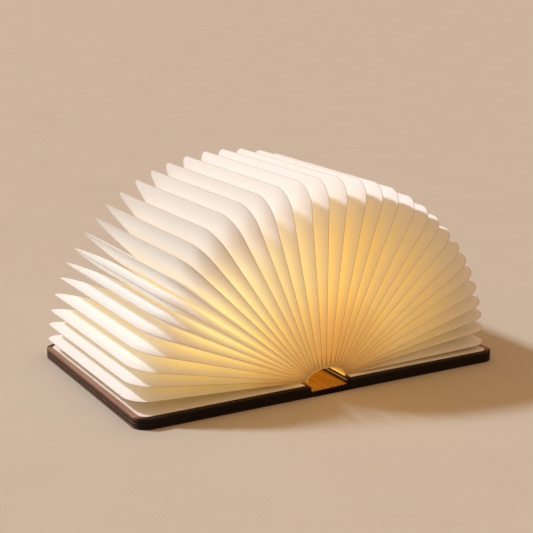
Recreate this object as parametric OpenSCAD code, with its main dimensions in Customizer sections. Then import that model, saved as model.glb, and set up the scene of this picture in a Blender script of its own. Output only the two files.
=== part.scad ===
// Folding book lamp, lying open and flat.
// +Z is up, the spine runs along Y, the covers open to -X and +X,
// and the origin is on the table under the middle of the spine.

/* [Covers] */
// Length of the covers and the spine
book_depth = 215; // [205:1:240]
// Distance from the middle of the spine to the fore edge of a cover
cover_reach = 178; // [176:1:190]
// Thickness of the outer board, which the spine is cut from
board_t = 4.5; // [4.3:0.1:4.6]
// Thickness of the inner board that holds the electronics
liner_t = 4.5; // [4.4:0.1:4.6]
// Radius of the covers' outer corners
cover_corner = 13; // [9:0.5:20]
// Width of bare wood round the endpaper
endpaper_rim = 5.5; // [4:0.5:6.5]
// Sheets that an endpaper is made of
endpaper_sheets = 2; // [1:1:2]
// Thickness of one of these sheets
endpaper_t = 0.2; // [0.1:0.05:0.2]
// Distance from the middle of the spine to the inner board
liner_start = 20; // [20:0.2:22]

/* [Spine hinge] */
// Distance from one spine slat to the next
slat_pitch = 4; // [3.8:0.1:4.2]
// Gap between two slats
kerf = 1; // [0.8:0.1:1.2]
// Width of the slits in the slats
slit_w = 0.5; // [0.4:0.05:0.8]
// Length of a slit
slit_len = 22; // [16:1:23]
// Wood left between two slits of one row
slit_bridge = 4; // [3:0.5:6]

/* [Pages] */
// Pages on the left of the fan's middle
pages_left = 17; // [14:1:17]
// Pages on the right of the fan's middle
pages_right = 16; // [12:1:16]
// Length of a page from the spine to its fore edge
page_len = 161.5; // [155:0.5:161.5]
// Size of a page along the spine
page_depth = 198; // [190:1:200]
// Thickness of a page, which is one folded sheet
page_t = 0.18; // [0.1:0.01:0.2]
// Radius of a page's front outer corner
page_corner_front = 20; // [8:1:30]
// Radius of its back outer corner
page_corner_back = 12; // [6:1:20]

/* [Fan] */
// Radius of the fan's outline
fan_radius = 178; // [177:0.5:178.5]
// Height of the outline's centre above the table
fan_centre = 3.8; // [3.5:0.1:5]
// Half width of the arch that the pages' inner edges stand on
arch_half_w = 18.5; // [18:0.5:21]
// Rise of that arch
arch_rise = 9.4; // [9:0.2:12]
// Height at which the arch starts
arch_foot = 10.4; // [10:0.1:11]
// How strongly the inner edges crowd towards the arch's feet
foot_crowding = 0.5; // [0.2:0.05:0.55]
// Lean of the first page on the left
lean_left = 0; // [0:0.1:1]
// Lean from that page to the next
step_left = 6.3; // [6:0.05:6.35]
// Lean lost by later pages on the left, in degrees times the step's number squared
ease_left = 0.062; // [0.06:0.001:0.07]
// Lean of the first page on the right
lean_right = 6.3; // [6:0.1:6.5]
// Lean from that page to the next
step_right = 6.6; // [6.4:0.05:6.65]
// Lean lost by later pages on the right, in degrees times the step's number squared
ease_right = 0.083; // [0.082:0.001:0.09]

/* [Light bar] */
// Length of the light bar
bar_len = 130; // [100:1:140]
// Width of the light bar
bar_w = 8; // [7.4:0.2:8]
// Wall of its aluminium channel
bar_wall = 0.8; // [0.6:0.1:1]
// Lowest face of the channel, clear of the slats when they bend
bar_base = 5.9; // [5.8:0.1:6]
// Thickness of the channel's floor
bar_floor = 0.6; // [0.5:0.1:0.8]
// Height of the channel's rim
bar_rim = 9.2; // [9:0.1:9.2]
// Height of the diffuser's crown
bar_top = 10.5; // [10.5:0.1:11]
// LEDs on the strip
led_count = 12; // [8:1:14]

/* [Power] */
// Side of the square battery cell
cell_side = 34; // [30:0.5:34.5]
// Thickness of the battery cell
cell_t = 4; // [3:0.1:4.2]
// Middle of the cell along X and Y
cell_at = [62.5, 85];
// Control board, its size along X and Y
circuit_size = [30, 25];
// Middle of the control board along X
circuit_x = 100; // [99:1:140]
// Diameter of a closing magnet
magnet_d = 8; // [6:0.5:10]
// Thickness of a closing magnet
magnet_t = 4; // [2:0.5:4]
// Middle of each cover's two magnets, measured along X and, both ways, along Y
magnet_at = [163, 88];

/* [Hidden] */
play = 0.5;
flush = 0.1;
cover_t = board_t + liner_t;
slats_a_side = 4;
slat_w = slat_pitch - kerf;
board_start = (slats_a_side + 0.5) * slat_pitch + kerf / 2;
slit_period = slit_len + slit_bridge;
sheet_step = 1;
page_corner_steps = 9;
foot_w = 3;
cap_t = 0.8;
lip = 0.6;
strip_size = [5.6, bar_len - 6, 0.5];
strip_base = bar_base + bar_floor;
led_size = [2.8, 3.5, 0.7];
diffuser_r = 7;
channel_len = bar_len - 2 * cap_t;
wire_w = 3;
circuit_t = 1;
spacer_w = 3;
port_wall = 4;
port_size = [8.94, 7.5, 3.26];
port_mouth = [8.34, 2.56];
port_depth = 6;
circuit_back = book_depth / 2 - port_wall;
port_z = board_t + liner_t / 2;
port_front = book_depth / 2 - flush;
$fn = 48;

// A box that is centred along X and Y and stands on the height z
module block(size, at = [0, 0], z = 0)
    translate([at[0] - size[0] / 2, at[1] - size[1] / 2, z]) cube(size);

// Draws its children as they are for the right side and mirrored for the left
module on_side(side) mirror([side == "left" ? 1 : 0, 0, 0]) children();

// ---- Spine and covers ----

// One strip of the living hinge. Its slits are staggered against its neighbours',
// so in every second strip the outermost slits run out through the ends.
module spine_slat(place) {
    staggered = abs(place) % 2 == 1;
    slits = staggered ? 9 : 8;
    first = -(slits - 1) / 2 * slit_period;
    color("#6b4526")
        difference() {
            block([slat_w, book_depth, board_t], [place * slat_pitch, 0]);
            for (n = [0:slits - 1])
                block([slit_w, slit_len, board_t + 2 * flush],
                      [place * slat_pitch, first + n * slit_period], -flush);
        }
}

// Outline of a cover's layer: square at the spine, rounded at the fore edge
module cover_outline(start, reach, depth, corner) {
    translate([start, -depth / 2]) square([reach - start - corner, depth]);
    translate([start, -depth / 2 + corner]) square([reach - start, depth - 2 * corner]);
    for (end = [-1, 1])
        translate([reach - corner, end * (depth / 2 - corner)]) circle(corner);
}

module outer_board(side)
    color("#4a2d1b")
        on_side(side)
            linear_extrude(board_t)
                cover_outline(board_start, cover_reach, book_depth, cover_corner);

// The inner board with its magnet holes. The right one also has windows for the
// cell and the control board, wire channels and the mouth of the charging port.
module inner_board(side)
    color("#5a3822")
        on_side(side)
            difference() {
                translate([0, 0, board_t]) linear_extrude(liner_t)
                    cover_outline(liner_start, cover_reach, book_depth, cover_corner);
                for (end = [-1, 1])
                    translate([magnet_at[0], end * magnet_at[1], board_t - flush])
                        cylinder(d = magnet_d + play / 2, h = liner_t + 2 * flush);
                if (side == "right") power_pockets();
            }

module power_pockets() {
    through = liner_t + 2 * flush;
    cell_window = cell_side + 2 * play;
    circuit_window = [circuit_size[0] + 2 * play, circuit_size[1] + 2 * play];
    cell_end = cell_at[0] + cell_side / 2;
    wire_y = cell_at[1];
    block([cell_window, cell_window, through], cell_at, board_t - flush);
    block([circuit_window[0], circuit_window[1], through],
          [circuit_x, circuit_back - circuit_size[1] / 2], board_t - flush);
    translate([liner_start - flush, wire_y - wire_w / 2, board_t - flush])
        cube([cell_at[0] - liner_start, wire_w, wire_w + flush]);
    translate([cell_end, wire_y - wire_w / 2, board_t - flush])
        cube([circuit_x - cell_end, wire_w, wire_w + flush]);
    translate([circuit_x, book_depth / 2, port_z])
        port_slot([port_size[0] + play, port_size[2] + play / 2], port_wall + 1);
}

// A slot with round ends that runs from its own face towards -Y
module port_slot(mouth, depth)
    translate([0, flush, 0]) rotate([90, 0, 0]) linear_extrude(depth + flush) {
        square([mouth[0] - mouth[1], mouth[1]], center = true);
        for (end = [-1, 1])
            translate([end * (mouth[0] - mouth[1]) / 2, 0]) circle(d = mouth[1]);
    }

// The sheets lie one on the other, and the upper one keeps a step back all round
module endpaper(side)
    color("#f3ead6")
        on_side(side)
            for (n = [0:endpaper_sheets - 1]) {
                rim = endpaper_rim + n * sheet_step;
                translate([0, 0, cover_t + n * endpaper_t])
                    linear_extrude(endpaper_t)
                        cover_outline(liner_start + rim / 2, cover_reach - rim,
                                      book_depth - 2 * rim, cover_corner - rim);
            }

module closing_magnets(side)
    color("#b9bcc0")
        on_side(side)
            for (end = [-1, 1])
                translate([magnet_at[0], end * magnet_at[1], board_t])
                    cylinder(d = magnet_d, h = magnet_t);

// ---- Pages ----

// Lean from upright of the line to page n's fore edge, counted from 1
function lean(side, n) = side == "left"
    ? lean_left + step_left * (n - 1) - ease_left * (n - 1) * (n - 1)
    : lean_right + step_right * (n - 1) - ease_right * (n - 1) * (n - 1);

// Inner edge of page n on the arch, and its fore edge on the fan's outline, as [x, z]
function inner_edge(side, n) =
    let (upright = 1 - lean(side, n) / 90,
         turn = 90 * (1 - foot_crowding * pow(upright, 3) - (1 - foot_crowding) * upright))
    [arch_half_w * sin(turn), arch_foot + arch_rise * cos(turn)];
function fore_edge(side, n) =
    [fan_radius * sin(lean(side, n)), fan_centre + fan_radius * cos(lean(side, n))];

// Quarter circle at a page's front (-1) or back (1) outer corner
function page_corner(end, radius, start) =
    [for (n = [0:page_corner_steps])
        let (a = start + 90 * n / page_corner_steps)
        [page_len - radius + radius * cos(a),
         end * (page_depth / 2 - radius) + radius * sin(a)]];

// Outline of a page, from its inner edge at 0 to its rounded outer corners
function page_outline() = concat(
    [[0, page_depth / 2], [0, -page_depth / 2]],
    page_corner(-1, page_corner_front, -90),
    page_corner(1, page_corner_back, 0));

// A page stands on the arch and points at its place on the fan's outline
module page(side, n) {
    inner = inner_edge(side, n);
    fore = fore_edge(side, n);
    rise = atan2(fore[1] - inner[1], fore[0] - inner[0]);
    color("#fbf3e2")
        on_side(side)
            translate([inner[0], 0, inner[1]])
                rotate([0, -rise, 0])
                    translate([0, 0, -page_t / 2])
                        linear_extrude(page_t) polygon(page_outline());
}

// ---- Light bar on the centre slat ----

// Extrudes a profile, drawn in X and Z, along the spine and centres it
module along_spine(length)
    rotate([90, 0, 0]) linear_extrude(length, center = true) children();

module light_channel()
    color("#c9ccd0")
        along_spine(channel_len) {
            translate([-foot_w / 2, board_t]) square([foot_w, bar_base - board_t + flush]);
            translate([-bar_w / 2, bar_base]) square([bar_w, strip_base - bar_base]);
            for (end = [0, 1]) mirror([end, 0]) {
                translate([bar_w / 2 - bar_wall, bar_base]) square([bar_wall, bar_rim - bar_base]);
                translate([bar_w / 2 - bar_wall - lip, bar_rim - lip]) square([lip + flush, lip]);
            }
        }

module led_strip()
    color("#e9e6da")
        block(strip_size, z = strip_base);

module led_chips() {
    pitch = strip_size[1] / led_count;
    color("#ffd27a")
        for (n = [0:led_count - 1])
            block(led_size, [0, (n - (led_count - 1) / 2) * pitch], strip_base + strip_size[2]);
}

// A crown that closes the channel, on two legs that clip in under its lips
module light_diffuser() {
    leg_x = bar_w / 2 - bar_wall - lip;
    color("#fff3d0")
        along_spine(channel_len) {
            intersection() {
                translate([0, bar_top - diffuser_r]) circle(diffuser_r);
                translate([-bar_w / 2, bar_rim]) square([bar_w, bar_top - bar_rim]);
            }
            for (end = [0, 1]) mirror([end, 0]) {
                translate([leg_x - bar_wall, bar_rim - 2 * lip]) square([bar_wall, 2 * lip + flush]);
                translate([leg_x - flush, bar_rim - 2 * lip]) square([lip, lip]);
            }
        }
}

module channel_end_caps()
    color("#b4b7bb")
        for (end = [-1, 1])
            translate([0, end * (bar_len - cap_t) / 2, 0])
                along_spine(cap_t) {
                    translate([-bar_w / 2, bar_base]) square([bar_w, bar_rim - bar_base]);
                    intersection() {
                        translate([0, bar_top - diffuser_r]) circle(diffuser_r);
                        translate([-bar_w / 2, bar_base]) square([bar_w, bar_top - bar_base]);
                    }
                }

// ---- Power, inside the right cover ----

module battery_cell()
    color("#9fa6ab")
        block([cell_side, cell_side, cell_t], cell_at, board_t);

// The board stands on four spacers at half the liner's height, and its back edge
// is notched for the socket. It carries a charger chip, driver chip, coil and the
// sensor that notices the left cover's magnet when the book is shut.
module control_board() {
    mid_y = circuit_back - circuit_size[1] / 2;
    base = port_z - circuit_t / 2;
    top = base + circuit_t;
    notch = circuit_back - port_front + port_size[1];
    color("#2f6b45") {
        difference() {
            block([circuit_size[0], circuit_size[1], circuit_t], [circuit_x, mid_y], base);
            block([port_size[0], 2 * notch, circuit_t + 2 * flush],
                  [circuit_x, circuit_back], base - flush);
        }
        for (x = [-1, 1], y = [-1, 1])
            block([spacer_w, spacer_w, base - board_t + flush],
                  [circuit_x + x * (circuit_size[0] - spacer_w) / 2,
                   mid_y + y * (circuit_size[1] - spacer_w) / 2], board_t);
        block([5, 5, 1], [circuit_x - 9, mid_y - 6], top - flush);
        block([4, 5, 1.2], [circuit_x + 8, mid_y - 6], top - flush);
        block([6, 6, 1.5], [circuit_x + 8, mid_y + 3], top - flush);
        block([3, 2, 1.2], [circuit_x - 10, mid_y + 4], top - flush);
    }
}

module charging_socket()
    color("#c7c9cc")
        translate([circuit_x, port_front, port_z])
            difference() {
                port_slot([port_size[0], port_size[2]], port_size[1]);
                port_slot(port_mouth, port_depth);
            }

spine_slat(0);  // spine_slat_centre
for (n = [1:slats_a_side]) {
    spine_slat(-n);
    spine_slat(n);
}
outer_board("left");  // outer_board_left
outer_board("right");  // outer_board_right
inner_board("left");  // inner_board_left
inner_board("right");  // inner_board_right
endpaper("left");  // endpaper_left
endpaper("right");  // endpaper_right
for (n = [1:pages_left])
    page("left", n);
for (n = [1:pages_right])
    page("right", n);
light_channel();
led_strip();
led_chips();
light_diffuser();
channel_end_caps();
battery_cell();
control_board();
charging_socket();
closing_magnets("left");  // closing_magnets_left
closing_magnets("right");  // closing_magnets_right
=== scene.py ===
import math
import bmesh
import bpy
from mathutils import Matrix, Vector


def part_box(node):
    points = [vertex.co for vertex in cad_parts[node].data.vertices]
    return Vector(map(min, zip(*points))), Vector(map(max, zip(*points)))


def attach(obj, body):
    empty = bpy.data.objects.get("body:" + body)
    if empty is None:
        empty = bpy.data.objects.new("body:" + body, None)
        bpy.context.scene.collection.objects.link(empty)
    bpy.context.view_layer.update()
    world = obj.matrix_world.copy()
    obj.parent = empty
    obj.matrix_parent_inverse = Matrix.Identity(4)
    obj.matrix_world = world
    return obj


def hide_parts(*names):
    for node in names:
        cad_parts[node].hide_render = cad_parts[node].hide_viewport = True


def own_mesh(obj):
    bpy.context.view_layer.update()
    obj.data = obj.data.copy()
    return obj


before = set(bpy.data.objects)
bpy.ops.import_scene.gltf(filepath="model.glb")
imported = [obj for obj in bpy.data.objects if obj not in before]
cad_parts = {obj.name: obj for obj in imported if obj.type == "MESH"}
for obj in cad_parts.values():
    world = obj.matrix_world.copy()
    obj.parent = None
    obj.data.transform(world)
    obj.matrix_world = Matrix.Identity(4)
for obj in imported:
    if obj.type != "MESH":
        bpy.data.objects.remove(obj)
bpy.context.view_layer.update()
bpy.context.scene.view_settings.view_transform = "Standard"
print("frame loaded:", len(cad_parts), "nodes")

# a noise is written as scale, detail and roughness, and a bump as strength and depth
mixSockets = {"factor": 0, "low": 6, "high": 7, "result": 2}    # a Mix node's sockets for colours


def startMaterial(name):
    mat = bpy.data.materials.new(name)
    mat.use_nodes = True
    return mat, mat.node_tree, mat.node_tree.nodes["Principled BSDF"]


def addNode(tree, kind, **values):
    node = tree.nodes.new(kind)
    for key, value in values.items():
        if hasattr(node, key):
            setattr(node, key, value)
        else:
            node.inputs[key].default_value = value
    return node


def addMath(tree, operation, a, b=None, clamp=False):
    node = addNode(tree, "ShaderNodeMath", operation=operation, use_clamp=clamp)
    for socket, value in zip(node.inputs, (a, b)):
        if isinstance(value, (int, float)):
            socket.default_value = value
        elif value is not None:
            tree.links.new(value, socket)
    return node.outputs[0]


def addVectorMath(tree, operation, a, b):
    node = addNode(tree, "ShaderNodeVectorMath", operation=operation)
    tree.links.new(a, node.inputs[0])
    tree.links.new(b, node.inputs["Scale" if operation == "SCALE" else 1])
    return node.outputs["Vector"]


def addRamp(tree, factor, stops):
    node = tree.nodes.new("ShaderNodeValToRGB")
    elements = node.color_ramp.elements
    while len(elements) < len(stops):
        elements.new(0.5)
    for element, (place, color) in zip(elements, stops):
        element.position = place
        element.color = (*color, 1)
    tree.links.new(factor, node.inputs["Fac"])
    return node.outputs["Color"]


def addTones(tree, factor, dark, light, span=(0.3, 0.7)):
    return addRamp(tree, factor, [(span[0], dark), (span[1], light)])


def addMix(tree, factor, low, high):
    node = addNode(tree, "ShaderNodeMix", data_type="RGBA")
    for name, value in (("factor", factor), ("low", low), ("high", high)):
        socket = node.inputs[mixSockets[name]]
        if isinstance(value, tuple):
            socket.default_value = (*value, 1)
        else:
            tree.links.new(value, socket)
    return node.outputs[mixSockets["result"]]


def objectCoords(tree):
    coord = tree.nodes.new("ShaderNodeTexCoord")
    split = tree.nodes.new("ShaderNodeSeparateXYZ")
    tree.links.new(coord.outputs["Object"], split.inputs[0])
    return coord.outputs["Object"], split.outputs


def addNoise(tree, vector, scale, detail=5.0, roughness=0.55):
    mapping = tree.nodes.new("ShaderNodeMapping")
    mapping.inputs["Scale"].default_value = scale
    noise = addNode(tree, "ShaderNodeTexNoise", Scale=1.0, Detail=detail, Roughness=roughness)
    tree.links.new(vector, mapping.inputs["Vector"])
    tree.links.new(mapping.outputs["Vector"], noise.inputs["Vector"])
    return noise.outputs["Fac"]


def readMark(tree, name):
    return addNode(tree, "ShaderNodeAttribute", attribute_name=name).outputs["Fac"]


def addGlow(tree, shader, color):
    tree.links.new(color, shader.inputs["Emission Color"])
    shader.inputs["Emission Strength"].default_value = 1.0


def addBump(tree, shader, height, strength, depth):
    bump = addNode(tree, "ShaderNodeBump", Strength=strength, Distance=depth)
    tree.links.new(height, bump.inputs["Height"])
    tree.links.new(bump.outputs["Normal"], shader.inputs["Normal"])


def dim(color, share):
    return tuple(part * share for part in color)


def dress(node, mat):
    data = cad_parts[node].data
    data.materials.clear()
    data.materials.append(mat)


cameraLook = {
    "place": (-0.5349, -0.9320, 0.3677),    # in front of the lamp, left of the middle
    "target": (0.0306, 0.0580, 0.0691),
    "roll": 0.239,                          # degrees
    "lens": 83.24,
    "sensorWidth": 36.0,
    "farthest": 60.0,
}


def aimMatrix(place, target, roll):
    # looks from place to target, turned about the line of sight
    back = (Vector(place) - Vector(target)).normalized()
    right = Vector((0, 0, 1)).cross(back).normalized()
    up = back.cross(right)
    turn = math.radians(roll)
    rolledRight = right * math.cos(turn) + up * math.sin(turn)
    rolledUp = up * math.cos(turn) - right * math.sin(turn)
    matrix = Matrix((rolledRight, rolledUp, back)).transposed().to_4x4()
    matrix.translation = Vector(place)
    return matrix


def addCamera():
    look = cameraLook
    data = bpy.data.cameras.new("camera")
    data.lens = look["lens"]
    data.sensor_width = look["sensorWidth"]
    data.clip_end = look["farthest"]
    camera = bpy.data.objects.new("camera", data)
    camera.matrix_world = aimMatrix(look["place"], look["target"], look["roll"])
    bpy.context.scene.collection.objects.link(camera)
    bpy.context.scene.camera = camera


sunLook = {
    "turn": 42.0,         # degrees the sun stands behind the left side
    "height": 43.5,       # degrees above the table
    "softness": 7.0,      # degrees across
    "strength": 2.6,
    "color": (0.75, 0.85, 1.0),
}


def addSun():
    look = sunLook
    data = bpy.data.lights.new("windowSun", "SUN")
    data.energy = look["strength"]
    data.color = look["color"]
    data.angle = math.radians(look["softness"])
    sun = bpy.data.objects.new("windowSun", data)
    turn = math.radians(look["turn"])
    height = math.radians(look["height"])
    toSun = Vector((-math.cos(height) * math.cos(turn), math.cos(height) * math.sin(turn),
                    math.sin(height)))
    sun.matrix_world = toSun.to_track_quat("Z", "Y").to_matrix().to_4x4()
    bpy.context.scene.collection.objects.link(sun)


fillLook = {
    "color": (0.62, 0.375, 0.208),
    "strength": 0.96,
}


def setFill():
    world = bpy.data.worlds.new("roomFill")
    bpy.context.scene.world = world
    world.use_nodes = True
    back = world.node_tree.nodes["Background"]
    back.inputs["Color"].default_value = (*fillLook["color"], 1)
    back.inputs["Strength"].default_value = fillLook["strength"]


tableLook = {
    "light": (0.600, 0.540, 0.435),
    "dark": (0.580, 0.522, 0.420),
    "size": 24.0,
    "height": -0.0002,    # just under the lamp
    "cloud": ((9, 9, 9), 4.0),
    "grain": ((160, 160, 160), 3.0),
    "bump": (0.05, 0.001),
    "roughness": 0.75,
}


def addTable():
    look = tableLook
    bpy.ops.object.select_all(action="DESELECT")
    bpy.ops.mesh.primitive_plane_add(size=look["size"], location=(0, 0, look["height"]))
    table = bpy.context.object
    table.name = "table"
    bpy.ops.object.transform_apply(location=True, rotation=True, scale=True)
    mat, tree, shader = startMaterial("palePlaster")
    vector = objectCoords(tree)[0]
    cloud = addNoise(tree, vector, *look["cloud"])
    tree.links.new(addTones(tree, cloud, look["dark"], look["light"]), shader.inputs["Base Color"])
    shader.inputs["Roughness"].default_value = look["roughness"]
    addBump(tree, shader, addNoise(tree, vector, *look["grain"]), *look["bump"])
    table.data.materials.append(mat)


addCamera()
addSun()
setFill()
addTable()
print("camera, light and table in place")


# the window side is the left one, where the sun stands
paperLook = {
    "paper": (0.86, 0.85, 0.825),
    "fibre": (0.905, 0.895, 0.875),
    "seamShade": (0.70, 0.58, 0.44),          # painted shade along the edge where a leaf's two layers are joined
    "shaded": (0.74, 0.68, 0.62),        # outer faces next to the joined edges, window side
    "paintedLampTint": (0.95, 0.74, 0.46),     # painted lamplight: warms the paper's colour next to the light bar
    "lampTintSpan": (0.08, 0.45),            # shares of the reach over which that painted warmth fades
    "lampHeight": 0.012,                 # the light bar's height above the table
    "reach": 0.19,                       # distance over which the glow is mapped
    # colours of the glow by share of the reach: brightest at about a third, fading to the
    # leaves' outer ends, which are cooler on the window's side
    "glow": [(0.0, (0.20, 0.11, 0.02)), (0.38, (0.35, 0.20, 0.02)), (0.64, (0.24, 0.13, 0.01)),
             (0.88, (0.04, 0.04, 0.02)), (1.0, (0.02, 0.02, 0.01))],
    "windowGlow": [(0.0, (0.25, 0.17, 0.04)), (0.3, (0.33, 0.23, 0.07)),
                   (0.6, (0.28, 0.21, 0.09)), (0.77, (0.16, 0.12, 0.08)),
                   (0.9, (0.10, 0.14, 0.14)), (1.0, (0.08, 0.12, 0.12))],
    "outerGlow": (0.13, 0.085, 0.020),   # added to the outer ends of the lowest leaves there
    "patches": ((45, 45, 45), 4.0),
    "patchiness": 0.16,                  # how much the glow varies with the patches
    "fibres": ((420, 420, 420), 6.0, 0.65),
    "bump": (0.12, 0.0004),
    "roughness": 0.72,
}


def makePaper():
    look = paperLook
    mat, tree, shader = startMaterial("spunPaper")
    vector, axes = objectCoords(tree)

    def squared(value):
        return addMath(tree, "POWER", addMath(tree, "ABSOLUTE", value), 2.0)

    lift = addMath(tree, "SUBTRACT", axes["Z"], look["lampHeight"])
    away = addMath(tree, "SQRT", addMath(tree, "ADD", squared(axes["X"]), squared(lift)))
    share = addMath(tree, "DIVIDE", away, look["reach"], clamp=True)
    # the leaves on the window side glow whiter towards their outer ends
    glow = addMix(tree, readMark(tree, "window"),
                  addRamp(tree, share, look["glow"]), addRamp(tree, share, look["windowGlow"]))
    cloud = addNoise(tree, vector, *look["patches"])
    patch = addMath(tree, "ADD", addMath(tree, "MULTIPLY", cloud, look["patchiness"]),
                    1 - look["patchiness"] / 2)
    level = addMath(tree, "MULTIPLY", readMark(tree, "level"), patch)
    outer = addTones(tree, readMark(tree, "outer"), (0, 0, 0), look["outerGlow"], (0.0, 1.0))
    addGlow(tree, shader,
            addVectorMath(tree, "ADD", addVectorMath(tree, "SCALE", glow, level), outer))
    fibre = addNoise(tree, vector, *look["fibres"])
    skin = addTones(tree, fibre, look["paper"], look["fibre"])
    skin = addMix(tree, readMark(tree, "shade"), skin, look["shaded"])
    # painted shade along the joined edges
    skin = addMix(tree, readMark(tree, "seamShade"), skin, look["seamShade"])
    # painted lamplight: the paper is warmed next to the light bar
    lampTint = addTones(tree, share, look["paintedLampTint"], (1.0, 1.0, 1.0), look["lampTintSpan"])
    tree.links.new(addVectorMath(tree, "MULTIPLY", skin, lampTint), shader.inputs["Base Color"])
    shader.inputs["Roughness"].default_value = look["roughness"]
    addBump(tree, shader, fibre, *look["bump"])
    return mat


coverLook = {
    "grainDark": (0.26, 0.140, 0.090),      # the bare wood of the rim and the outer faces
    "grainLight": (0.45, 0.260, 0.175),
    "grainSpan": (0.35, 0.62),
    "grain": ((260, 14, 260), 6.0, 0.6),
    "figure": ((55, 5, 55), 3.0),           # the broad bands of the veneer
    "figureShare": 0.4,
    "charDark": (0.012, 0.0065, 0.004),     # laser-cut edges
    "charLight": (0.180, 0.100, 0.065),
    "charSpan": (0.3, 0.65),
    "plyPitch": 0.0030,                     # a dark and a light ply together
    "streak": ((60, 60, 900), 3.0),
    "streakShare": 0.35,
    "edgeSkin": 0.0002,                     # how deep a face's own colour reaches
    "endShadeShare": 0.07,                       # painted shade: the front and back are darker than the long sides
    "endFrom": 0.0960,                      # distances from the middle where that comes in
    "endTo": 0.1030,
    "tunnelGlow": (0.38, 0.20, 0.07),       # lamplight on the edge that faces the spine
    "tunnelDim": 0.75,                      # its level in the dark grain
    "tunnelFrom": 0.0058,                   # heights between which it shows
    "tunnelTo": 0.0068,
    "tunnelHalf": 0.0222,                   # distance from the spine within which it shows
    "bump": (0.25, 0.0003),
    "roughness": 0.62,
    "sheen": 0.18,
}


def makeCover(top):
    look = coverLook
    mat, tree, shader = startMaterial("oiledWalnut")
    vector, axes = objectCoords(tree)
    height = axes["Z"]
    grain = addNoise(tree, vector, *look["grain"])
    figure = addNoise(tree, vector, *look["figure"])
    mixed = addMath(tree, "ADD", addMath(tree, "MULTIPLY", grain, 1 - look["figureShare"]),
                    addMath(tree, "MULTIPLY", figure, look["figureShare"]))
    face = addTones(tree, mixed, look["grainDark"], look["grainLight"], look["grainSpan"])
    # cut edges show the plies, charred by the laser
    ply = addMath(tree, "PINGPONG", addMath(tree, "DIVIDE", height, look["plyPitch"]), 0.5)
    streak = addNoise(tree, vector, *look["streak"])
    band = addMath(tree, "ADD", ply, addMath(tree, "MULTIPLY", streak, look["streakShare"]))
    char = addTones(tree, band, look["charDark"], look["charLight"], look["charSpan"])
    underTop = addMath(tree, "LESS_THAN", height, top - look["edgeSkin"])
    overBottom = addMath(tree, "GREATER_THAN", height, look["edgeSkin"])
    wood = addMix(tree, addMath(tree, "MULTIPLY", underTop, overBottom), face, char)
    # painted shade: the front and back edges are darkened
    past = addMath(tree, "SUBTRACT", addMath(tree, "ABSOLUTE", axes["Y"]), look["endFrom"])
    ends = addMath(tree, "DIVIDE", past, look["endTo"] - look["endFrom"], clamp=True)
    paintedEndShade = addMath(tree, "MULTIPLY", addMath(tree, "MULTIPLY", ends, overBottom),
                       1 - look["endShadeShare"])
    kept = addMath(tree, "SUBTRACT", 1.0, paintedEndShade)
    tree.links.new(addVectorMath(tree, "SCALE", wood, kept), shader.inputs["Base Color"])
    # the inner boards' edges catch the lamp beside the hinge
    inner = addMath(tree, "LESS_THAN", addMath(tree, "ABSOLUTE", axes["X"]), look["tunnelHalf"])
    lit = addMath(tree, "MULTIPLY", inner, addMath(tree, "SUBTRACT", 1.0, ends))
    lit = addMath(tree, "MULTIPLY", lit, addMath(tree, "GREATER_THAN", height, look["tunnelFrom"]))
    lit = addMath(tree, "MULTIPLY", lit, addMath(tree, "LESS_THAN", height, look["tunnelTo"]))
    warm = addTones(tree, grain, dim(look["tunnelGlow"], look["tunnelDim"]), look["tunnelGlow"])
    addGlow(tree, shader, addVectorMath(tree, "SCALE", warm, lit))
    shader.inputs["Roughness"].default_value = look["roughness"]
    shader.inputs["Specular IOR Level"].default_value = look["sheen"]
    addBump(tree, shader, grain, *look["bump"])
    return mat


hingeLook = {
    "dark": (0.20, 0.085, 0.022),
    "light": (0.42, 0.20, 0.055),
    "span": (0.35, 0.65),
    "grain": ((900, 20, 300), 5.0),
    # near-black of the laser-cut faces, also used as painted shade where the lamp doesn't reach
    "char": (0.007, 0.004, 0.002),
    "glowDark": (0.12, 0.034, 0.0005),
    "glowLight": (0.25, 0.082, 0.002),
    "litFrom": 0.0030,          # above this height a slat is lit by the lamp
    "litHalf": 0.1050,          # beyond this the slats' ends get painted shade, more so on the right
    "litSkew": 0.060,
    "bump": (0.3, 0.0003),
    "roughness": 0.65,
    "sheen": 0.15,
}


def makeHingeWood():
    look = hingeLook
    mat, tree, shader = startMaterial("hingeWood")
    vector, axes = objectCoords(tree)
    grain = addNoise(tree, vector, *look["grain"])
    skewed = addMath(tree, "ADD", addMath(tree, "ABSOLUTE", axes["Y"]),
                     addMath(tree, "MULTIPLY", axes["X"], look["litSkew"]))
    lit = addMath(tree, "MULTIPLY", addMath(tree, "GREATER_THAN", axes["Z"], look["litFrom"]),
                  addMath(tree, "LESS_THAN", skewed, look["litHalf"]))
    tone = addTones(tree, grain, look["dark"], look["light"], look["span"])
    # painted shade: where the lamp doesn't reach, a slat takes the near-black of char
    tree.links.new(addMix(tree, lit, look["char"], tone), shader.inputs["Base Color"])
    glow = addTones(tree, grain, look["glowDark"], look["glowLight"])
    addGlow(tree, shader, addVectorMath(tree, "SCALE", glow, lit))
    shader.inputs["Roughness"].default_value = look["roughness"]
    shader.inputs["Specular IOR Level"].default_value = look["sheen"]
    addBump(tree, shader, grain, *look["bump"])
    return mat


endpaperLook = {
    "dark": (0.84, 0.81, 0.75),
    "light": (0.90, 0.875, 0.82),
    "fibres": ((300, 300, 300),),
    "glow": (0.12, 0.065, 0.015),    # lamplight beside the hinge
    "glowDim": 0.9,                  # its level on the dark fibres
    "glowFrom": 0.026,               # distances from the spine over which it fades
    "glowTo": 0.042,
    "bump": (0.1, 0.0002),
    "roughness": 0.7,
}


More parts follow.
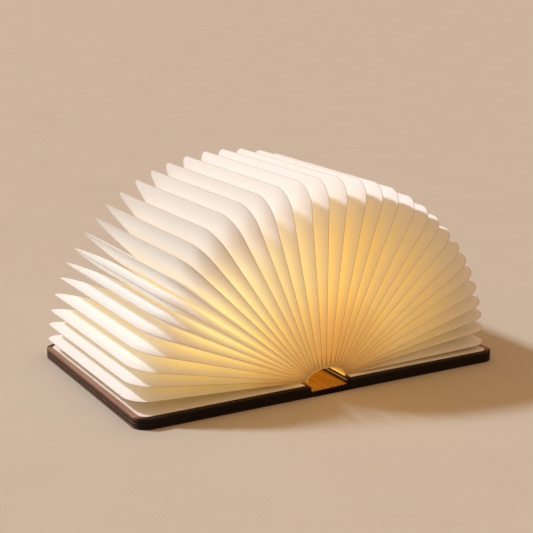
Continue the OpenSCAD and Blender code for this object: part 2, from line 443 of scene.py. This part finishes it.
def makeEndpaper():
    look = endpaperLook
    mat, tree, shader = startMaterial("endpaper")
    vector, axes = objectCoords(tree)
    fibre = addNoise(tree, vector, *look["fibres"])
    tone = addTones(tree, fibre, look["dark"], look["light"])
    tree.links.new(tone, shader.inputs["Base Color"])
    short = addMath(tree, "SUBTRACT", look["glowTo"], addMath(tree, "ABSOLUTE", axes["X"]))
    fade = addMath(tree, "DIVIDE", short, look["glowTo"] - look["glowFrom"], clamp=True)
    warm = addTones(tree, fibre, dim(look["glow"], look["glowDim"]), look["glow"])
    addGlow(tree, shader, addVectorMath(tree, "SCALE", warm, fade))
    shader.inputs["Roughness"].default_value = look["roughness"]
    addBump(tree, shader, fibre, *look["bump"])
    return mat


fittingLook = {
    "grain": (300, 300, 300),        # scale where a fitting names none
    "glowDim": 0.9,
    "glowSpan": (0.2, 0.8),
    "bump": (0.1, 0.0002),
}

# nodes, name of their finish, its dark and light tones, its roughness and what else it has
fittings = [
    (("light_channel",), "satinAluminium", (0.55, 0.56, 0.57), (0.68, 0.69, 0.70), 0.35,
     {"metallic": 1.0, "grain": (30, 900, 900)}),
    (("led_strip",), "whiteStrip", (0.75, 0.74, 0.70), (0.84, 0.83, 0.79), 0.5, {}),
    (("led_chips",), "litPhosphor", (0.9, 0.7, 0.3), (1.0, 0.8, 0.4), 0.4,
     {"glow": (1.0, 0.62, 0.22)}),
    (("light_diffuser",), "opalDiffuser", (0.9, 0.84, 0.72), (0.95, 0.9, 0.8), 0.45,
     {"glow": (1.0, 0.55, 0.16)}),
    (("channel_end_caps",), "mouldedCaps", (0.70, 0.70, 0.69), (0.78, 0.78, 0.77), 0.5, {}),
    (("battery_cell",), "foilPouch", (0.42, 0.43, 0.44), (0.55, 0.56, 0.57), 0.35,
     {"metallic": 0.8, "grain": (60, 60, 60)}),
    (("control_board",), "solderMask", (0.02, 0.10, 0.05), (0.03, 0.15, 0.08), 0.4, {}),
    (("charging_socket",), "drawnSteel", (0.50, 0.50, 0.51), (0.62, 0.62, 0.63), 0.3,
     {"metallic": 1.0, "grain": (60, 900, 60)}),
    (("closing_magnets_left", "closing_magnets_right"), "nickelPlate", (0.52, 0.51, 0.49),
     (0.62, 0.61, 0.59), 0.25, {"metallic": 1.0}),
]


def makeFitting(name, dark, light, roughness, metallic=0.0, grain=fittingLook["grain"], glow=None):
    look = fittingLook
    mat, tree, shader = startMaterial(name)
    vector = objectCoords(tree)[0]
    noise = addNoise(tree, vector, grain)
    tree.links.new(addTones(tree, noise, dark, light), shader.inputs["Base Color"])
    if glow:
        dimmed = dim(glow, look["glowDim"])
        addGlow(tree, shader, addTones(tree, noise, dimmed, glow, look["glowSpan"]))
    shader.inputs["Roughness"].default_value = roughness
    shader.inputs["Metallic"].default_value = metallic
    addBump(tree, shader, noise, *look["bump"])
    return mat


def dressFittings():
    for nodes, name, dark, light, roughness, more in fittings:
        mat = makeFitting(name, dark, light, roughness, **more)
        for node in nodes:
            dress(node, mat)


def dressHinge():
    mat = makeHingeWood()
    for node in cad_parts:
        if node.startswith("spine_slat"):
            dress(node, mat)


dressFittings()
dressHinge()
print("hinge and fittings finished")


coverFinish = {
    "weldDistance": 0.00001,
    "edgeRound": 0.00035,
    "roundSteps": 2,
    "sharpAngle": 35,         # edges that turn by more degrees than this are rounded
}


def roundEdges(node):
    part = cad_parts[node]
    weld = part.modifiers.new("joinCorners", "WELD")
    weld.merge_threshold = coverFinish["weldDistance"]
    bevel = part.modifiers.new("easedEdges", "BEVEL")
    bevel.width = coverFinish["edgeRound"]
    bevel.segments = coverFinish["roundSteps"]
    bevel.limit_method = "ANGLE"
    bevel.angle_limit = math.radians(coverFinish["sharpAngle"])


def finishCovers(top):
    boardMat = makeCover(top)
    endpaperMat = makeEndpaper()
    for side in ("left", "right"):
        for layer in ("outer_board_", "inner_board_"):
            dress(layer + side, boardMat)
            roundEdges(layer + side)
        dress("endpaper_" + side, endpaperMat)


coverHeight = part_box("inner_board_left")[1][2]
finishCovers(coverHeight)
print("covers finished")


pageShape = {
    "frontRadius": 0.020,     # the free corner at the front of a leaf
    "backRadius": 0.012,
    "cornerSteps": 10,
    "seamWidth": 0.0007,      # joined strip round a leaf's free edges
    "seamThickness": 0.0003,
    "rings": (0.0009, 0.0012, 0.0016, 0.0021, 0.0027),    # rows of faces inside that strip
    "lip": 0.0009,            # how far the layers part at once inside it
    "lipReach": 0.0035,
    "parting": 0.15,          # how fast they part from there, until they meet the next leaves
    "meeting": 4.0,           # how sharply that happens
    "splay": 0.014,           # length over which a leaf opens towards the spine
    "splayCurve": 1.6,
    "gap": 0.00006,           # air left between two leaves
    "leastRoom": 0.00002,
    "lengthSteps": (0.0012, 0.003, 0.005, 0.0075, 0.0105, 0.014, 0.019, 0.026, 0.034, 0.043,
                    0.052, 0.062, 0.072, 0.082, 0.092, 0.102, 0.112, 0.121, 0.129, 0.137, 0.144,
                    0.151, 0.157),
    "depthSteps": (0, 0.014, 0.027, 0.039, 0.049, 0.058, 0.066, 0.073, 0.079, 0.084),
    "spareRoot": 0.02,        # cut off again once the rings are made
    "trim": 0.0004,           # how much a leaf stays inside its plate's outline
    "flatShare": 0.03,        # thickness left when the book is shut
    "touching": 0.0001,       # places closer than this are the same
    "endBand": 0.001,         # a plate's end points lie this close to its ends
}

# no two leaves swell or bow alike
pageVariety = {
    "swell": 0.12,
    "swellStep": 2.4,
    "swellStart": {"left": 0.7, "right": 2.1},
    "bow": 0.0008,
    "bowStep": 1.7,
    "bowReach": 0.05,         # length over which the bow comes in
}

pageGlow = {
    "edgeDrop": 0.42,         # glow lost at the joined edges
    "edgeReach": 0.013,
    "seamDrop": 0.55,         # glow lost on the joined edge itself
    "seamFade": 1.4,          # how fully the strip shows as joined
    "endDrop": 0.18,          # glow lost towards the open front and back
    "endFrom": 0.060,
    "endTo": 0.099,
    "shadeReach": 0.006,      # how far in from the edge the outer faces are shaded
    "outerFrom": 0.075,       # length over which the extra glow of the outer ends comes in
    "outerTo": 0.125,
    "outerInset": 0.010,      # how far in from the edge it comes in
    # the tables start with a leaf's lean in degrees; here its share of the glow, and how far
    # it takes the whiter glow of the window side
    "left": [(0, 1.14, 0.3), (8, 1.10, 0.7), (20, 1.06, 1.0), (30, 1.0, 1.0), (60, 1.0, 0.9),
             (72, 0.85, 0.5), (78, 0.76, 0.3), (86, 0.38, 0.0)],
    "right": [(0, 1.18, 0.3), (10, 1.16, 0.0), (30, 1.0, 0.0), (45, 0.99, 0.0), (62, 0.86, 0.0),
              (76, 0.62, 0.0), (87, 0.16, 0.0)],
    "root": [(0, 1.3), (70, 1.3), (84, 3.0)],                    # glow of the end at the spine
    "shading": [(4, 0.0), (14, 0.5), (48, 0.5), (58, 0.0)],      # only on the left
    "outer": [(62, 0.0), (72, 0.65), (79, 0.75), (86, 0.5)],     # only on the left
}


def clamp(value):
    return max(0.0, min(1.0, value))


def findPage(node):
    # the CAD plate gives the leaf's inner edge, direction, length and depth
    points = [v.co.copy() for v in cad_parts[node].data.vertices]
    reach = [math.hypot(p.x, p.z) for p in points]
    band = pageShape["endBand"]
    inner = [p for p, r in zip(points, reach) if r < min(reach) + band]
    outer = [p for p, r in zip(points, reach) if r > max(reach) - band]
    start = sum(inner, Vector()) / len(inner)
    end = sum(outer, Vector()) / len(outer)
    start.y = end.y = 0
    return start, (end - start).normalized(), (end - start).length, max(p.y for p in points)


def cutAcross(axis, places):
    for place in places:
        bpy.ops.mesh.select_all(action="SELECT")
        bpy.ops.mesh.bisect(plane_co=axis * place, plane_no=axis)


def roundCorner(leaf, side, radius):
    mesh = bmesh.from_edit_mesh(leaf.data)
    farthest = max(v.co.x for v in mesh.verts)
    for v in mesh.verts:
        v.select = v.co.x > farthest - pageShape["touching"] and v.co.y * side > 0
    bmesh.update_edit_mesh(leaf.data)
    bpy.ops.mesh.bevel(offset=radius, segments=pageShape["cornerSteps"], affect="VERTICES")


def modelLeaf(length, depth):
    # a flat pattern of two layers joined all round, with the spine's end at x = 0
    shape = pageShape
    spare = shape["spareRoot"]
    bpy.ops.object.select_all(action="DESELECT")
    bpy.ops.mesh.primitive_plane_add(size=1, location=((length - spare) / 2, 0, 0))
    leaf = bpy.context.object
    leaf.name = "leafPattern"
    leaf.scale = (length + spare, depth * 2, 1)
    bpy.ops.object.transform_apply(location=True, rotation=True, scale=True)
    bpy.ops.object.mode_set(mode="EDIT")
    bpy.ops.mesh.select_mode(type="VERT")
    roundCorner(leaf, -1, shape["frontRadius"])
    roundCorner(leaf, 1, shape["backRadius"])
    bpy.ops.mesh.select_mode(type="FACE")
    bpy.ops.mesh.select_all(action="SELECT")
    for width in (shape["seamWidth"],) + shape["rings"]:
        bpy.ops.mesh.inset(thickness=width, depth=0)
    bpy.ops.mesh.select_all(action="SELECT")
    bpy.ops.mesh.bisect(plane_co=(0, 0, 0), plane_no=(1, 0, 0), clear_inner=True)
    cutAcross(Vector((1, 0, 0)), shape["lengthSteps"])
    cutAcross(Vector((0, 1, 0)), [-step for step in shape["depthSteps"]])
    cutAcross(Vector((0, 1, 0)), shape["depthSteps"][1:])
    thickness = shape["seamThickness"]
    bpy.ops.mesh.select_all(action="SELECT")
    bpy.ops.mesh.extrude_region_move(TRANSFORM_OT_translate={"value": (0, 0, thickness)})
    bpy.ops.mesh.select_all(action="SELECT")
    bpy.ops.transform.translate(value=(0, 0, -thickness / 2))
    bpy.ops.mesh.normals_make_consistent(inside=False)
    bpy.ops.object.mode_set(mode="OBJECT")
    return leaf


def insetOf(x, y, length, depth):
    # how far a point of the leaf lies inside its joined outline
    r = pageShape["frontRadius"] if y < 0 else pageShape["backRadius"]
    dx = length - x
    dy = depth - abs(y)
    if dx < r and dy < r:
        return r - math.hypot(r - dx, r - dy)
    return min(dx, dy)


def roomBeside(plane, up, other, x):
    # half the way from a leaf to the plane of the one beside it
    start, direction = plane
    otherStart, otherDirection = other
    across = otherDirection.cross(Vector((0, 1, 0)))
    return abs((otherStart - start - direction * x).dot(across) / up.dot(across)) / 2


def shapeLeaf(mesh, length, depth, room, swell, bow):
    # the two layers part inside the joined edges until they meet the leaves on both sides
    shape = pageShape
    half = shape["seamThickness"] / 2
    power = shape["meeting"]
    for v in mesh.vertices:
        x, y, z = v.co
        inside = max(insetOf(x, y, length, depth) - shape["seamWidth"], 0)
        most = max(room(x, z > 0) - shape["gap"] / 2 - half, shape["leastRoom"])
        lip = shape["lip"] * (1 - math.exp(-inside / shape["lipReach"]))
        free = lip + shape["parting"] * swell * inside
        parted = free * most / (free ** power + most ** power) ** (1 / power)
        opening = max(0.0, 1 - x / shape["splay"]) ** shape["splayCurve"]
        thick = half + parted * (1 - opening) + most * opening
        bowed = bow * (1 - parted / most) * min(1.0, x / pageVariety["bowReach"])
        v.co.z = (thick if z > 0 else -thick) + bowed


def readTable(rows, lean):
    # values between the rows, and those of the first or last row past them
    for low, high in zip(rows, rows[1:]):
        if lean <= high[0]:
            share = max(0.0, (lean - low[0]) / (high[0] - low[0]))
            return [a + (b - a) * share for a, b in zip(low[1:], high[1:])]
    return rows[-1][1:]


def markLeaf(mesh, length, depth, side, lean):
    # the paper reads these marks: painted shade of the joined edge, level of the glow, share of
    # the window side's glow, shading of the outer face and extra glow of the outer end
    glow = pageGlow
    leafLevel, window = readTable(glow[side], lean)
    rootLevel = readTable(glow["root"], lean)[0]
    leftShare = 1.0 if side == "left" else 0.0
    shading = leftShare * readTable(glow["shading"], lean)[0]
    outerMost = leftShare * readTable(glow["outer"], lean)[0]
    marks = {"seamShade": [], "level": [], "window": [], "shade": [], "outer": []}
    for v in mesh.vertices:
        inside = max(insetOf(v.co.x, v.co.y, length, depth), 0)
        along = clamp((abs(v.co.y) - glow["endFrom"]) / (glow["endTo"] - glow["endFrom"]))
        far = clamp((v.co.x - glow["outerFrom"]) / (glow["outerTo"] - glow["outerFrom"]))
        joined = clamp(glow["seamFade"] * (1 - inside / pageShape["seamWidth"]))
        level = leafLevel * (1 - glow["endDrop"] * along ** 2)
        level *= 1 - glow["edgeDrop"] * math.exp(-inside / glow["edgeReach"])
        level *= 1 - glow["seamDrop"] * joined
        atRoot = v.co.x < pageShape["touching"]
        faceOut = v.co.z > 0      # the pattern's upper layer faces out on the left
        marks["seamShade"].append(joined)
        marks["level"].append(rootLevel if atRoot else level)
        marks["window"].append(window)
        marks["shade"].append(shading * math.exp(-inside / glow["shadeReach"]) if faceOut else 0.0)
        marks["outer"].append(outerMost * far * (1 - math.exp(-inside / glow["outerInset"])))
    for name, values in marks.items():
        mesh.attributes.new(name, "FLOAT", "POINT").data.foreach_set("value", values)


def placeLeaf(mesh, length, depth, side, number, planes, paperMat):
    # planes are those of the leaf before this one, of this one and of the next
    before, own, after = planes
    start, direction = own
    across = Vector((0, 1, 0))
    up = direction.cross(across)
    variety = pageVariety

    def room(x, upper):
        return roomBeside(own, up, before if upper else after, x)

    lean = math.degrees(math.atan2(abs(direction.x), direction.z))
    swell = math.sin(number * variety["swellStep"] + variety["swellStart"][side])
    bow = variety["bow"] * math.cos(number * variety["bowStep"])
    markLeaf(mesh, length, depth, side, lean)
    shapeLeaf(mesh, length, depth, room, 1 + variety["swell"] * swell, bow)
    placed = Matrix((direction, across, up)).transposed().to_4x4()
    placed.translation = start
    mesh.transform(placed)
    mesh.materials.append(paperMat)
    mesh.shade_smooth()
    leaf = bpy.data.objects.new(f"leaf_{side}_{number}", mesh)
    bpy.context.scene.collection.objects.link(leaf)
    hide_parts(f"page_{side}_{number}")
    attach(leaf, f"{side}_page_{number}")
    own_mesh(leaf)


def placePages():
    # all leaves in turn, from the lowest on the left over the top to the lowest on the right
    count = {side: sum(node.startswith("page_" + side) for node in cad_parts)
             for side in ("left", "right")}
    order = [("left", number) for number in range(count["left"], 0, -1)]
    order += [("right", number) for number in range(1, count["right"] + 1)]
    found = [findPage(f"page_{side}_{number}") for side, number in order]
    length = found[0][2] - pageShape["trim"]
    depth = found[0][3] - pageShape["trim"]
    # the covers come after the lowest leaves
    coverTop = Vector((0, 0, coverHeight))
    planes = [(coverTop, Vector((-1, 0, 0)))]
    planes += [(start, direction) for start, direction, *size in found]
    planes += [(coverTop, Vector((1, 0, 0)))]
    paperMat = makePaper()
    pattern = modelLeaf(length, depth)
    for place, (side, number) in enumerate(order):
        placeLeaf(pattern.data.copy(), length, depth, side, number, planes[place:place + 3],
                  paperMat)
    bpy.data.objects.remove(pattern)
    print("leaves placed:", len(order))


placePages()
